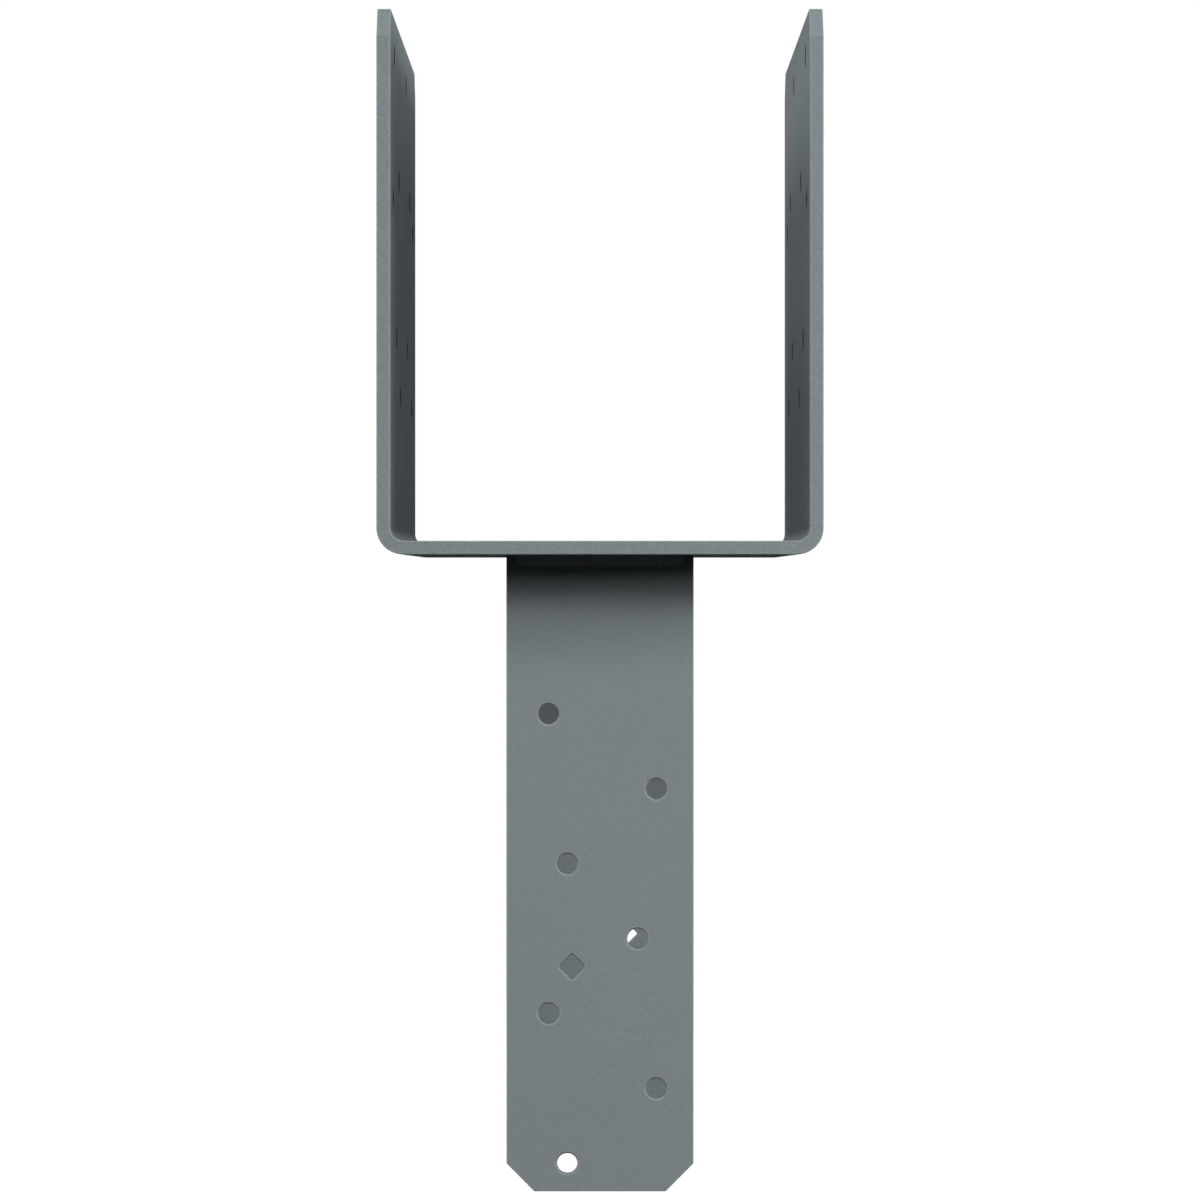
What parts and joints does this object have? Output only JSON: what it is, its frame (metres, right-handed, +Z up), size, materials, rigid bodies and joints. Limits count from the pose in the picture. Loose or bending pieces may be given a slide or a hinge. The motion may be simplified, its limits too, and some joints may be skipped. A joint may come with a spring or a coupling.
{
  "type": "column cap",
  "caption": "Grey-painted steel column cap: a U-shaped saddle for a beam over two flat straps that clasp a post, punched with screw holes.",
  "frame": {"origin": "middle of the seat's underside, where the post's head bears", "axes": "+Z up, X across the beam, Y along the beam, front strap on -Y"},
  "size_m": [0.1488, 0.2794, 0.3982],
  "materials": {
    "painted_plate": "satin grey shop paint on steel plate",
    "painted_weld": "satin grey shop paint over a rippled weld bead"
  },
  "bodies": {
    "root": {"beam_saddle": "painted_plate", "front_post_strap": "painted_plate", "rear_post_strap": "painted_plate", "front_strap_weld": "painted_weld", "rear_strap_weld": "painted_weld"}
  },
  "joints": []
}
